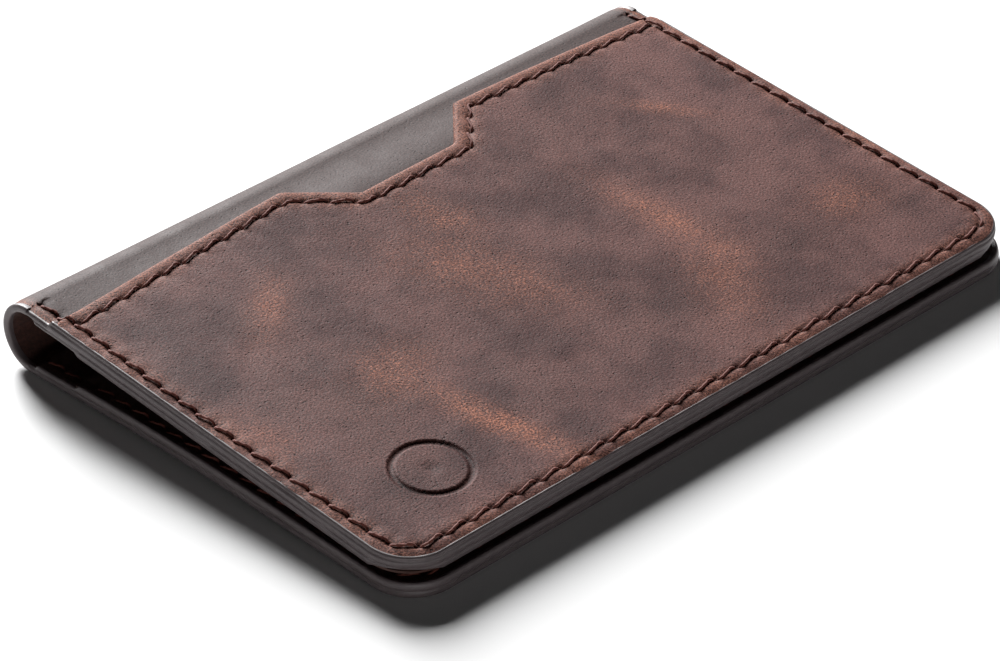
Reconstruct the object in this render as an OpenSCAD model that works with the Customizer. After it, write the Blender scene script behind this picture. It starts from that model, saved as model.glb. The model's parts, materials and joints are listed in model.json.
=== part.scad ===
// Minimalist bifold card wallet, closed and lying on its back half.
// Millimetres. X runs along the fold, +Y points to the fold, +Z is up. The origin is the
// middle of the footprint, on the surface that the wallet lies on.

/* [Wallet] */
// Length along the fold, over the painted edges
wallet_l = 102; // [96:1:120]
// Depth from the free edge to the outside of the fold
wallet_d = 70.5; // [66:1:90]
// Radius of the rounded corners at the free edge
corner_r = 6; // [4:0.5:9]
// Angle at which the front half leans down towards the free edge
front_lean = 3.9; // [2:0.1:4.1]
// How far the front half stops short of the back half at the free edge
front_short = 0.9; // [0:0.1:1.5]

/* [Leather] */
// Thickness of the one hide that makes the cover
cover_t = 1.0; // [0.8:0.1:1.4]
// Thickness of the quick pocket's leather
pocket_t = 0.65; // [0.5:0.05:0.9]
// Thickness of the cloth that lines the quick pocket
lining_t = 0.15; // [0.1:0.05:0.2]
// Thickness of each inner leather panel
panel_t = 0.5; // [0.4:0.05:0.7]

/* [Fold] */
// Outside radius of the fold
fold_r = 4.6; // [4.4:0.1:7]
// Number of strips that stand in for the bending leather of the fold
fold_strips = 5; // [5]
// Depth of each bending line below the outside of the leather
bend_depth = 0.25; // [0.2:0.05:0.4]
// Opening between neighbouring strips of the fold
strip_gap = 0.3; // [0.3:0.05:0.4]

/* [Pockets] */
// Distance from the fold to the mouth of the quick pocket
quick_mouth = 4.8; // [3:0.1:8]
// Depth of the stepped notch in that mouth
notch_depth = 6.7; // [4:0.1:12]
// Width of the notch at the mouth
notch_top = 29; // [24:0.5:40]
// Width of the notch at its floor
notch_floor = 14; // [8:0.5:18]
// Distance from the fold to the mouth of each inner pocket behind the panels
liner_mouth = 1; // [0.5:0.5:4]
// Distance from the fold to the mouth of each inner card slot
slot_mouth = 8.5; // [6:0.5:20]

/* [Seams] */
// Distance of the stitches from the painted edge
seam_inset = 2.0; // [1.8:0.1:4]
// Distance of the stitches from the mouth of the quick pocket
mouth_inset = 2.0; // [1.5:0.1:3]
// Length of one stitch and the space after it
stitch_pitch = 3.0; // [2.5:0.1:4]
// Length of thread that shows in one stitch
stitch_l = 2.3; // [1.8:0.1:2.4]
// Thickness of the thread
thread_d = 0.5; // [0.4:0.05:0.5]
// Depth of the stitch groove where the thread stands proud
groove_d = 0.3; // [0.2:0.05:0.35]
// Thickness of the paint on the cut edges
paint_t = 0.35; // [0.2:0.05:0.5]

/* [Hidden] */

eps = 0.01;
smooth = 96;
// The fold's centre line stands this far behind the origin and this high.
fold_y = wallet_d/2 - fold_r;
fold_z = fold_r;
// Length of each half from the fold's centre line to its free edge.
back_reach = wallet_d - fold_r;
front_reach = back_reach - front_short;
// The arc of leather round the fold, counted from straight down, and one strip's share.
fold_arc = 180 + front_lean;
strip_arc = fold_arc/(fold_strips + 1);
gap_arc = strip_gap/(fold_r - bend_depth)*180/PI;
// Levels of the front half, counted outwards from the fold's centre line.
front_skin = fold_r;
front_inside = fold_r - cover_t;
front_outside = fold_r + lining_t + pocket_t;
stack_t = cover_t + 2*panel_t;
// The groove on the underside takes the whole thread, so that nothing stands below it.
sunk_groove = thread_d + 0.05;
groove_w = thread_d + 0.2;
thread_rest = 0.02;
slope = atan2(notch_depth, (notch_top - notch_floor)/2);
slope_shift = mouth_inset*tan(slope/2);

leather = "#4a2d26";
inner_leather = "#3b2320";
cloth = "#2c2422";
thread = "#5e2a28";
paint = "#37302f";

// Moves a shape from the fold's own frame to its place: there, -Y runs to the free edge
// and Z counts from the fold's centre line.
module on_back() {
    translate([0, fold_y, 0]) children();
}

module on_front() {
    translate([0, fold_y, fold_z]) rotate([front_lean, 0, 0]) children();
}

// A half's outline: square at the fold, rounded at the free edge. reach runs to the free
// edge, top is the distance of its upper edge from the fold, and inset shrinks it.
module half_outline(reach, top = 0, inset = 0) {
    w = wallet_l/2 - inset;
    low = -(reach - inset);
    r = corner_r - inset;
    translate([-w, low + r]) square([2*w, -top - low - r]);
    translate([-w + r, low]) square([2*(w - r), r + eps]);
    for (side = [-1, 1])
        translate([side*(w - r), low + r]) circle(r, $fn = smooth);
}

// A channel for the thread along the three sewn sides, between two distances from the fold.
module seam_channel(reach, from, to, depth) {
    linear_extrude(depth) intersection() {
        difference() {
            half_outline(reach, -1, seam_inset - groove_w/2);
            half_outline(reach, -2, seam_inset + groove_w/2);
        }
        translate([-wallet_l/2, -to]) square([wallet_l, to - from]);
    }
}

// Place and heading of a point at distance s along the seam, from the middle of the free
// edge round one corner and up to the fold.
function seam_point(reach, s) =
    let (r = corner_r - seam_inset,
         cx = wallet_l/2 - corner_r,
         cy = corner_r - reach,
         turn = (s - cx)/r*180/PI)
    s < cx ? [s, cy - r, 0]
    : turn < 90 ? [cx + r*sin(turn), cy - r*cos(turn), turn]
    : [cx + r, cy + s - cx - r*PI/2, 90];

function seam_length(reach) =
    wallet_l/2 - corner_r + (corner_r - seam_inset)*PI/2 + reach - corner_r;

// One stitch lying along X, with its lowest point at height 0.
module stitch(length = stitch_l) {
    translate([0, 0, thread_d/2]) rotate([0, 90, 0]) rotate(22.5)
        cylinder(h = length, d = thread_d, center = true, $fn = 8);
}

// The stitches on one face of a half, those whose distance from the fold is in [from, to].
module seam_run(reach, from, to) {
    count = floor(seam_length(reach)/stitch_pitch);
    for (side = [0, 1]) mirror([side, 0, 0])
        for (i = [0 : count - 1]) {
            p = seam_point(reach, (i + 0.5)*stitch_pitch);
            if (-p[1] > from + stitch_l/2 && -p[1] < to)
                translate([p[0], p[1], 0]) rotate(p[2]) stitch();
        }
}

// The cover's leather on the arc between two angles.
module cover_arc(a, b) {
    far = 2*fold_r;
    middle = (a + b)/2;
    rotate([90, 0, 90]) linear_extrude(wallet_l - 2*paint_t, center = true) intersection() {
        difference() {
            circle(fold_r, $fn = smooth);
            circle(fold_r - cover_t, $fn = smooth);
        }
        polygon([[0, 0], far*[sin(a), -cos(a)], far*[sin(middle), -cos(middle)],
                 far*[sin(b), -cos(b)]]);
    }
}

module cover_back() {
    color(leather) {
        difference() {
            on_back() linear_extrude(cover_t) half_outline(back_reach, 0, paint_t);
            on_back() translate([0, 0, -eps])
                seam_channel(back_reach, -1, back_reach, sunk_groove + eps);
        }
        translate([0, fold_y, fold_z]) cover_arc(0, strip_arc/2 - gap_arc/2);
    }
}

module fold_strip(i) {
    from = strip_arc*(i - 0.5) + gap_arc/2;
    color(leather) translate([0, fold_y, fold_z]) cover_arc(from, from + strip_arc - gap_arc);
}

module cover_front() {
    color(leather) on_front() {
        difference() {
            translate([0, 0, front_inside]) linear_extrude(cover_t)
                half_outline(front_reach, 0, paint_t);
            translate([0, 0, front_skin - groove_d])
                seam_channel(front_reach, -1, quick_mouth, groove_d + eps);
        }
        cover_arc(180 - strip_arc/2 + gap_arc/2, 180);
    }
}

// The notch in the mouth of the quick pocket, grown by shift.
module notch(shift = 0) {
    k = shift*tan(slope/2);
    polygon([[-notch_top/2 - k, -quick_mouth + 1], [-notch_top/2 - k, -quick_mouth - shift],
             [-notch_floor/2 - k, -quick_mouth - notch_depth - shift],
             [notch_floor/2 + k, -quick_mouth - notch_depth - shift],
             [notch_top/2 + k, -quick_mouth - shift], [notch_top/2 + k, -quick_mouth + 1]]);
}

// The corners of the stitch line that follows the mouth, from the middle outwards.
mouth_line = [
    [0, -quick_mouth - notch_depth - mouth_inset],
    [notch_floor/2 + slope_shift, -quick_mouth - notch_depth - mouth_inset],
    [notch_top/2 + slope_shift, -quick_mouth - mouth_inset],
    [wallet_l/2 - seam_inset - stitch_pitch/2, -quick_mouth - mouth_inset]];

// Lays its child along each stretch of that line, on both halves; $long is its length.
module along_mouth() {
    for (side = [0, 1]) mirror([side, 0, 0])
        for (i = [0 : len(mouth_line) - 2]) {
            a = mouth_line[i];
            b = mouth_line[i + 1];
            $long = norm(b - a);
            translate([a[0], a[1], 0]) rotate(atan2(b[1] - a[1], b[0] - a[0])) children();
        }
}

module quick_pocket() {
    color(leather) on_front() difference() {
        translate([0, 0, front_skin + lining_t]) linear_extrude(pocket_t) difference() {
            half_outline(front_reach, quick_mouth, paint_t);
            notch();
        }
        translate([0, 0, front_outside - groove_d]) {
            seam_channel(front_reach, quick_mouth, front_reach, groove_d + eps);
            along_mouth() translate([-groove_w/2, -groove_w/2, 0])
                cube([$long + groove_w, groove_w, groove_d + eps]);
        }
    }
}

module quick_pocket_lining() {
    edge = 1;
    color(cloth) on_front() translate([0, 0, front_skin]) linear_extrude(lining_t)
        difference() {
            half_outline(front_reach, quick_mouth + edge, paint_t);
            notch(edge);
        }
}

// An inner leather panel; level is the height of its lower face and groove_z that of the
// lower face of its stitch groove.
module inner_panel(reach, top, level, groove_z, groove_to) {
    difference() {
        translate([0, 0, level]) linear_extrude(panel_t) half_outline(reach, top, paint_t);
        translate([0, 0, groove_z])
            seam_channel(reach, -1, groove_to, groove_d + eps);
    }
}

module front_liner() {
    level = front_inside - panel_t;
    color(inner_leather) on_front()
        inner_panel(front_reach, liner_mouth, level, level - eps, slot_mouth);
}

module front_card_slot() {
    level = front_inside - 2*panel_t;
    color(inner_leather) on_front()
        inner_panel(front_reach, slot_mouth, level, level - eps, front_reach);
}

module back_liner() {
    color(inner_leather) on_back()
        inner_panel(back_reach, liner_mouth, cover_t, cover_t + panel_t - groove_d, slot_mouth);
}

module back_card_slot() {
    color(inner_leather) on_back()
        inner_panel(back_reach, slot_mouth, cover_t + panel_t, stack_t - groove_d, back_reach);
}

module quick_pocket_stitching() {
    color(thread) on_front() translate([0, 0, front_outside - groove_d + thread_rest])
        along_mouth() {
            count = round($long/stitch_pitch);
            step = $long/count;
            for (i = [0 : count - 1])
                translate([(i + 0.5)*step, 0, 0]) stitch(step*stitch_l/stitch_pitch);
        }
}

module front_stitching() {
    color(thread) on_front() {
        translate([0, 0, front_outside - groove_d + thread_rest])
            seam_run(front_reach, quick_mouth, front_reach);
        translate([0, 0, front_skin - groove_d + thread_rest])
            seam_run(front_reach, -1, quick_mouth - stitch_l/2);
        translate([0, 0, front_inside - panel_t + groove_d - thread_rest]) mirror([0, 0, 1])
            seam_run(front_reach, liner_mouth, slot_mouth - stitch_l/2);
        translate([0, 0, front_inside - 2*panel_t + groove_d - thread_rest]) mirror([0, 0, 1])
            seam_run(front_reach, slot_mouth, front_reach);
    }
}

module back_stitching() {
    color(thread) on_back() {
        translate([0, 0, sunk_groove - thread_rest]) mirror([0, 0, 1])
            seam_run(back_reach, -1, back_reach);
        translate([0, 0, cover_t + panel_t - groove_d + thread_rest])
            seam_run(back_reach, liner_mouth, slot_mouth - stitch_l/2);
        translate([0, 0, stack_t - groove_d + thread_rest])
            seam_run(back_reach, slot_mouth, back_reach);
    }
}

// A band of paint round the three cut sides of a half, from one level to another.
module paint_band(reach, top, from, to) {
    translate([0, 0, from]) linear_extrude(to - from) difference() {
        half_outline(reach, top);
        half_outline(reach, top - 1, paint_t);
    }
}

module front_edge_paint() {
    inset = 0.05;
    color(paint) on_front() {
        paint_band(front_reach, 0, fold_r - stack_t + inset, front_skin);
        paint_band(front_reach, quick_mouth, front_skin, front_outside - inset);
    }
}

module back_edge_paint() {
    lift = 0.15;
    color(paint) on_back() paint_band(back_reach, 0, lift, stack_t - 0.05);
}

cover_back();
for (i = [1 : fold_strips])
    fold_strip(i);
cover_front();
quick_pocket();
quick_pocket_lining();
front_liner();
front_card_slot();
back_liner();
back_card_slot();
quick_pocket_stitching();
front_stitching();
back_stitching();
front_edge_paint();
back_edge_paint();
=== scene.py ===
"""Looks for a slim stitched leather bifold. The folding cover, the panels, the seams and the
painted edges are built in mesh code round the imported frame. Lengths are in millimetres here,
apart from the settings, and become metres as each mesh is made."""
import json
import math

import bpy
import numpy as np
from mathutils import Matrix, Vector, noise
from mathutils.geometry import delaunay_2d_cdt

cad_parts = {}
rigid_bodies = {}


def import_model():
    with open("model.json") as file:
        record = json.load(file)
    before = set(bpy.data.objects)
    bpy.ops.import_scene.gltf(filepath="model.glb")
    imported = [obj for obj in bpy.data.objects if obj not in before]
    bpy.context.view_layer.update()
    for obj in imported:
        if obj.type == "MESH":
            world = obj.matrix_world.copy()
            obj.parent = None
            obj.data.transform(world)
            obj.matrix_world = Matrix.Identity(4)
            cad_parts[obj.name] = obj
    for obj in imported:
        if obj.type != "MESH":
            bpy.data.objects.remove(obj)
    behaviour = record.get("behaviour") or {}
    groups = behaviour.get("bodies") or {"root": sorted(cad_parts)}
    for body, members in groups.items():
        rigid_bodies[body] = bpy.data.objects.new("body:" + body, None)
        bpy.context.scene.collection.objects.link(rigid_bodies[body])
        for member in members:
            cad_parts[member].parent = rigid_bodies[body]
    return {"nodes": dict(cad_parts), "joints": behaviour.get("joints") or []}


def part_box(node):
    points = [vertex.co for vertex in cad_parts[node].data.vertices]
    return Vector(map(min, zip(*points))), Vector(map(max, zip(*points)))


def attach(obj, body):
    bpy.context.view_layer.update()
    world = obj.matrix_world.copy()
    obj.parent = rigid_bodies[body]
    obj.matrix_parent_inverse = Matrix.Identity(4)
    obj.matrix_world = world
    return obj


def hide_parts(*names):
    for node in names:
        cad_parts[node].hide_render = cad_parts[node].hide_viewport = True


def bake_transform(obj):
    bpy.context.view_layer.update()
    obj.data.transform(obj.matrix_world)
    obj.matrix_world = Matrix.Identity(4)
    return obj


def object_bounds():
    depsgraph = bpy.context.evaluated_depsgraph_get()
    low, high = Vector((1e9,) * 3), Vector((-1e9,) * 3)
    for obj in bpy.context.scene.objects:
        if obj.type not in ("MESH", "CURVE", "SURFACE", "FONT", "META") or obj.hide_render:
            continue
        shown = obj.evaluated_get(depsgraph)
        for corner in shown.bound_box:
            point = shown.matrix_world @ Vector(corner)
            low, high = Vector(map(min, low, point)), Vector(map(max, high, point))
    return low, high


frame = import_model()

bl_info = {
    "name": "Bifold Wallet Looks",
    "version": (1, 0, 0),
    "blender": (4, 5, 0),
    "location": "3D View > Sidebar > Wallet",
    "description": "Builds the leather, seams, painted edges and stage of a slim bifold wallet",
    "category": "Object",
}

MM = 0.001
# The stamp's middle, on the flat hide.
STAMP_X, STAMP_V = -36.3, -53.6
# How far the left seam wanders towards the edge at its middle.
SEAM_WANDER = 0.5
# How deep the flesh side is skived at the middle of each bend, as a share of its inner radius.
BEND_SAG = 0.034
# The camera's direction and roll in degrees, its distance and shift in metres, and its lens.
CAMERA_TURN, CAMERA_RISE, CAMERA_ROLL = -43.84, 33.52, -0.413
CAMERA_FAR, CAMERA_RIGHT, CAMERA_UP = 0.53302, -0.002316, -0.00271
CAMERA_LENS, CAMERA_SENSOR = 159.09, 36
# Each light's name, turn and rise in degrees, width and height in metres, and power in watts.
LIGHTS = (("window_light", 157, 29, 0.5, 0.75, 66), ("fill_light", -35, 4, 1.0, 0.16, 5))
LIGHTS_FAR = 1.5
FLOOR_REACH = 3.0


# What the frame says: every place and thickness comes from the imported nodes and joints.


def corners_of(name):
    """A node's lowest and highest corner, in millimetres."""
    return [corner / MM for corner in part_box(name)]


CAD_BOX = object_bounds()
LENGTH = corners_of("back_edge_paint")[1].x * 2
FOLD_Y = corners_of("back_edge_paint")[1].y
FOLD_R = (CAD_BOX[1].y / MM) - FOLD_Y
BACK_REACH = FOLD_Y - corners_of("back_edge_paint")[0].y
PAINT_T = LENGTH / 2 - corners_of("back_liner")[1].x
COVER_T = corners_of("back_liner")[0].z
PANEL_T = corners_of("back_liner")[1].z - COVER_T
LINER_MOUTH = FOLD_Y - corners_of("back_liner")[1].y
SLOT_MOUTH = FOLD_Y - corners_of("back_card_slot")[1].y
JOINTS = frame["joints"]
BODIES = [JOINTS[0]["parent"]] + [joint["child"] for joint in JOINTS]
FIRST_BEND = Vector(JOINTS[0]["pos_m"]) / MM
BEND_ARC = 2 * math.atan2(FIRST_BEND.y - FOLD_Y, FOLD_R - FIRST_BEND.z)
FOLD_ARC = BEND_ARC * len(JOINTS)
FOLD_LENGTH = FOLD_ARC * FOLD_R
LEAN = FOLD_ARC - math.pi
FRONT_REACH = ((FOLD_Y - corners_of("front_card_slot")[0].y) / math.cos(LEAN)
               - (FOLD_R - COVER_T - PANEL_T) * math.tan(LEAN) + PAINT_T)


# Settings that a user would change.


def linear(code):
    """An sRGB hex colour as the linear values that Blender works in."""
    parts = [int(code[i:i + 2], 16) / 255 for i in (1, 3, 5)]
    return tuple(p / 12.92 if p <= 0.04045 else ((p + 0.055) / 1.055) ** 2.4 for p in parts)


def length_setting(name, value, description):
    """A length, given in millimetres and stored in metres."""
    return bpy.props.FloatProperty(
        name=name, default=value * MM, description=description, unit="LENGTH", precision=5)


def colour_setting(name, code, description):
    return bpy.props.FloatVectorProperty(
        name=name, default=linear(code), size=3, subtype="COLOR", min=0, max=1,
        description=description)


class WalletSizes(bpy.types.PropertyGroup):
    corner: length_setting("Corner radius", 6.0, "Radius of the rounded corners")
    seam: length_setting("Seam inset", 2.0, "Distance of the seam from the painted edge")
    mouth_seam: length_setting("Mouth seam", 2.0, "Distance of the seam from the pocket mouth")
    pitch: length_setting("Stitch pitch", 3.15, "One stitch with its gap, at sides and mouth")
    edge_pitch: length_setting("Edge stitch pitch", 3.6, "One stitch with its gap, free edge")
    thread: length_setting("Thread", 0.34, "Diameter of the sewing thread")
    pocket: length_setting("Pocket leather", 0.65, "Thickness of the quick pocket's leather")
    lining: length_setting("Lining", 0.15, "Thickness of the lining cloth")
    mouth_side: length_setting("Mouth at the sides", 4.0, "Fold to mouth at the side seams")
    mouth_top: length_setting("Mouth at the notch", 3.5, "Fold to mouth beside the notch")
    mouth_skew: length_setting("Mouth skew", 1.1, "How much nearer the fold the right end is")
    notch_floor: length_setting("Notch floor", 9.9, "Fold to the floor of the notch")
    notch_wide: length_setting("Notch width", 29.6, "Width of the notch at the mouth")
    notch_narrow: length_setting("Notch floor width", 15.8, "Width of the notch at its floor")
    notch_shift: length_setting("Notch shift", 0.9, "How far right the notch's floor lies")
    bulge: length_setting("Pocket bulge", 1.9, "How far the middle of the mouth stands up")
    arch: length_setting("Back arch", 0.8, "How far the middle of the back half stands up")
    stamp: length_setting("Stamp radius", 4.6, "Radius of the ring pressed into the pocket")


class WalletColours(bpy.types.PropertyGroup):
    dark: colour_setting("Dark hide", "#442a29", "Waxed leather where the oil has settled")
    mid: colour_setting("Middle hide", "#664642", "Waxed leather between dark and worn")
    worn: colour_setting("Worn hide", "#9b6450", "Leather where bending moved the wax away")
    rim: colour_setting("Rim", "#835749", "Leather rubbed lighter at rims and mouth")
    smooth: colour_setting("Cover hide", "#3f302e", "Unworn leather by the fold and outside")
    inner: colour_setting("Inner leather", "#40261f", "Thin leather of the inner panels")
    flesh: colour_setting("Flesh side", "#3c221c", "Rough inside of the cover hide")
    thread: colour_setting("Thread", "#6e3d34", "Waxed sewing thread")
    # Set lighter than the dark paint itself: painted light standing in for the highlights on its
    # ridges.
    paint: colour_setting("Edge paint", "#584f50", "Paint on the cut edges")
    cloth: colour_setting("Lining cloth", "#2a2220", "Woven pocket lining")
    floor: colour_setting("Floor", "#f2f2f2", "Pale studio floor")


def sizes(name):
    """One size setting, in millimetres."""
    return getattr(bpy.context.scene.wallet_sizes, name) / MM


def colours(name):
    return tuple(getattr(bpy.context.scene.wallet_colours, name))


# Places on the wallet: x runs along the fold, v from 0 at the fold to minus at the free edge.


def ease(low, high, value):
    """0 below low, 1 above high, and a smooth rise between."""
    t = np.clip((value - low) / (high - low), 0, 1)
    return t * t * (3 - 2 * t)


def arch(v):
    """How far the back half stands off the table between the fold and the free edge."""
    t = np.clip(-v / BACK_REACH, 0, 1)
    return sizes("arch") * np.sin(np.pi * t ** 0.85) ** 1.5


def back_point(x, v, height):
    """A point of the back half, at a height over the cover's outer face."""
    return np.stack([x, FOLD_Y + v, height + arch(v)], -1)


def front_point(x, v, radius):
    """A point of the leaning front half, at a distance from the fold's centre line."""
    c, s = math.cos(LEAN), math.sin(LEAN)
    return np.stack([x, FOLD_Y + v * c - radius * s, FOLD_R + v * s + radius * c], -1)


def rim_distance(x, v, reach):
    """How far a point lies inside the three cut sides of a half."""
    r = sizes("corner")
    qx, qv = np.abs(x) - (LENGTH / 2 - r), -v - (reach - r)
    outside = np.hypot(np.maximum(qx, 0), np.maximum(qv, 0))
    return r - outside - np.minimum(np.maximum(qx, qv), 0)


def seam_wander(x, v, reach):
    """How far the left seam of a half has wandered towards the edge."""
    return SEAM_WANDER * np.sin(np.pi * np.clip(-v / reach, 0, 1)) ** 1.5 * (x < -LENGTH / 3)


def seam_offset(x, v, reach):
    """Distance of a point from the seam of a half."""
    return np.abs(rim_distance(x, v, reach) - sizes("seam") + seam_wander(x, v, reach))


def stitch_count(travel):
    """How many stitches lie between the middle of the free edge and a place on the seam."""
    r = sizes("corner")
    edge = LENGTH / 2 - r + (r - sizes("seam")) * np.pi / 4
    return (np.minimum(travel, edge) / sizes("edge_pitch")
            + np.maximum(travel - edge, 0) / sizes("pitch"))


def seam_count(x, v, reach):
    """The stitch count at the place on the seam that is nearest a point."""
    r = sizes("corner")
    straight, bend = LENGTH / 2 - r, r - sizes("seam")
    dx, dv = np.abs(x) - straight, v + reach - r
    turn = straight + bend * np.arctan2(np.maximum(dx, 0), np.maximum(-dv, 1e-6))
    side = straight + bend * np.pi / 2 + dv
    travel = np.where((dv > 0) & (dx > -6), side, np.where(dx > 0, turn, np.abs(x)))
    return stitch_count(travel)


def outline(reach, inset, step, top=0.0):
    """Points round the three cut sides of a half, from the left end at the fold to the right."""
    r = sizes("corner")
    straight, bend = LENGTH / 2 - r, r - inset
    flat = np.linspace(0, straight, round(straight / step) + 1)[:-1]
    turn = np.linspace(0, np.pi / 2, round(bend * np.pi / 2 / step) + 3)
    rise = np.linspace(r - reach, -top, round((reach - r - top) / step) + 1)[1:]
    x = np.concatenate([flat, straight + bend * np.sin(turn), 0 * rise + straight + bend])
    v = np.concatenate([0 * flat - reach + inset, r - reach - bend * np.cos(turn), rise])
    right = np.stack([x, v], 1)
    return np.concatenate([right[:0:-1] * [-1, 1], right])


def rounded(corners, radius):
    """A broken line with its inner corners rounded."""
    made = [Vector(corners[0])]
    for before, at, after in zip(corners, corners[1:], corners[2:]):
        a, b = (Vector(p) - Vector(at) for p in (before, after))
        a, b = a.normalized(), b.normalized()
        half = a.angle(b) / 2
        centre = Vector(at) + (a + b).normalized() * radius / math.sin(half)
        start = Vector(at) + a * radius / math.tan(half) - centre
        stop = Vector(at) + b * radius / math.tan(half) - centre
        turn = math.atan2(start.x * stop.y - start.y * stop.x, start.dot(stop))
        made += [centre + Matrix.Rotation(turn * i / 6, 2) @ start for i in range(7)]
    return np.array([tuple(p) for p in made + [Vector(corners[-1])]])


def mouth_path(inset, end):
    """The notched mouth of the quick pocket from left to right, moved into the leather."""
    wide, narrow, shift = sizes("notch_wide") / 2, sizes("notch_narrow") / 2, sizes("notch_shift")
    side, top, floor = -sizes("mouth_side"), -sizes("mouth_top"), -sizes("notch_floor")
    corners = [Vector(p) for p in (
        (-LENGTH / 2, side), (-wide, top), (shift - narrow, floor), (shift + narrow, floor),
        (wide, top), (LENGTH / 2, side))]
    for p in corners:
        p.y += p.x * sizes("mouth_skew") / (LENGTH / 2)
    runs = [(b - a).normalized() for a, b in zip(corners, corners[1:])]
    into = [Vector((run.y, -run.x)) for run in runs]
    mitres = [(a + b) / (1 + a.dot(b)) for a, b in zip(into, into[1:])]
    corners = [p + inset * m for p, m in zip(corners, [into[0]] + mitres + [into[-1]])]
    path = rounded(corners, 0.9)
    ends = [(x, np.interp(x, path[:, 0], path[:, 1])) for x in (-end, end)]
    return np.concatenate([ends[:1], path[1:-1], ends[1:]])


def travels(path):
    """How far along a line each of its points lies."""
    return np.concatenate([[0], np.cumsum(np.hypot(*np.diff(path, axis=0).T))])


def along(path, travel):
    """Points at given distances along a line."""
    at = travels(path)
    return np.stack([np.interp(travel, at, path[:, k]) for k in (0, 1)], 1)


def walk(path, step):
    """The same line with its points evenly spaced."""
    total = travels(path)[-1]
    return along(path, np.linspace(0, total, round(total / step) + 1))


def nearest_on(path, x, v):
    """Distance of each point from a line, and how far along the line that is from its middle."""
    best, travel = np.full(x.shape, 1e9), np.zeros(x.shape)
    at = travels(path)
    for a, b, start in zip(path[:-1], path[1:], at):
        d = b - a
        t = np.clip(((x - a[0]) * d[0] + (v - a[1]) * d[1]) / (d @ d + 1e-12), 0, 1)
        far = np.hypot(x - a[0] - t * d[0], v - a[1] - t * d[1])
        travel = np.where(far < best, start + t * math.sqrt(d @ d), travel)
        best = np.minimum(best, far)
    return best, travel - at[-1] / 2


def swells(x, v, size, seed):
    """Soft noise from -1 to 1, with swells about size millimetres across."""
    return np.array([noise.noise(Vector((a, b, seed * size)) / size)
                     for a, b in zip(x.ravel(), v.ravel())]).reshape(x.shape)


# How the leather lies.


def pucker(off, count):
    """Leather drawn down along a seam, with pits at the needle holes and swells between."""
    holes = np.cos(2 * np.pi * count)
    groove = -0.2 * np.exp(-(off / 0.42) ** 2) * (0.75 + 0.25 * holes)
    pits = -0.24 * np.exp(-(off / 0.3) ** 2) * np.maximum(holes, 0) ** 5
    swell = -0.05 * np.exp(-((off - 0.95) / 0.55) ** 2) * holes
    return groove + pits + swell


def pocket_lift(x, v):
    """How far the quick pocket stands up: most at the mouth, nothing at the other seams."""
    across = np.maximum(1 - (2 * x / (LENGTH - 4)) ** 2, 0) ** 1.1
    down = np.clip((-v - sizes("mouth_top")) / (FRONT_REACH - 6), 0, 1)
    return sizes("bulge") * across * (1 - down) ** 1.6


def cover_lift(x, v):
    """The cover follows the pocket part of the way, from nothing at the fold."""
    return 0.55 * pocket_lift(x, v) * ease(0, 9, -v)


def mouth_seam():
    """The seam along the mouth, and the length of one of its stitches."""
    path = mouth_path(sizes("mouth_seam"), LENGTH / 2 - sizes("seam") - 0.4)
    total = travels(path)[-1]
    return path, total / (2 * round(total / sizes("pitch") / 2))


def pocket_sewing(x, v):
    """How the seams of the quick pocket draw its leather down."""
    path, pitch = mouth_seam()
    off, travel = nearest_on(path, x, v)
    side = pucker(seam_offset(x, v, FRONT_REACH), seam_count(x, v, FRONT_REACH))
    return side + pucker(off, travel / pitch)


def stamp(x, v):
    """A plain ring with a dot, pressed into the leather near one corner."""
    far = np.hypot(x - STAMP_X, v - STAMP_V)
    stroke = 1 - ease(0.22, 0.5, np.abs(far - sizes("stamp")))
    dot = 1 - ease(0.45, 0.8, far)
    return np.maximum(stroke, dot)


def rim_roll(inside):
    """Leather worn down towards a cut edge."""
    return -0.34 * (1 - ease(0, 2.1, inside)) ** 2


def pocket_relief(x, v):
    """Height of the quick pocket's grain side over its plain level."""
    relief = pocket_sewing(x, v) + rim_roll(rim_distance(x, v, FRONT_REACH))
    lip = nearest_on(mouth_path(0, LENGTH / 2 + 2), x, v)[0]
    relief -= 0.3 * np.maximum(1 - lip / 0.5, 0) ** 2
    relief -= 0.26 * stamp(x, v)
    return relief + 0.07 * swells(x, v, 13, 1) + 0.025 * swells(x, v, 3.5, 2)


def pocket_top(x, v):
    level = FOLD_R + sizes("lining") + sizes("pocket")
    return front_point(x, v, level + pocket_lift(x, v) + pocket_relief(x, v))


def cover_relief(x, s):
    """Height of the cover's grain side over its plain level; s is the travel past the fold."""
    back, front = np.minimum(s, 0), FOLD_LENGTH - np.maximum(s, FOLD_LENGTH)
    relief = np.zeros(x.shape)
    for v, reach, here in ((back, BACK_REACH, s < 0), (front, FRONT_REACH, s > FOLD_LENGTH)):
        sewn = pucker(seam_offset(x, v, reach), seam_count(x, v, reach))
        rolled = rim_roll(rim_distance(x, v, reach))
        relief = np.where(here, np.minimum(sewn, 0) + rolled, relief)
    middle = (s >= 0) & (s <= FOLD_LENGTH)
    relief = np.where(middle, rim_roll(LENGTH / 2 - np.abs(x)), relief)
    return relief + 0.04 * (swells(x, s, 16, 3) - 1) * ease(0, 12, LENGTH / 2 - np.abs(x))


def cover_point(x, s, depth):
    """A point of the cover at a depth under its grain side, wherever it is round the fold."""
    angle = np.clip(s, 0, FOLD_LENGTH) / FOLD_R
    radius = FOLD_R - depth
    fold = np.stack([x, FOLD_Y + radius * np.sin(angle), FOLD_R - radius * np.cos(angle)], -1)
    front_v = np.minimum(FOLD_LENGTH - s, 0)
    front = front_point(x, front_v, radius + cover_lift(x, front_v))
    back = back_point(x, np.minimum(s, 0), depth)
    return np.where((s < 0)[:, None], back, np.where((s > FOLD_LENGTH)[:, None], front, fold))


def cover_outside(x, s):
    return cover_point(x, s, -cover_relief(x, s))


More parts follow.
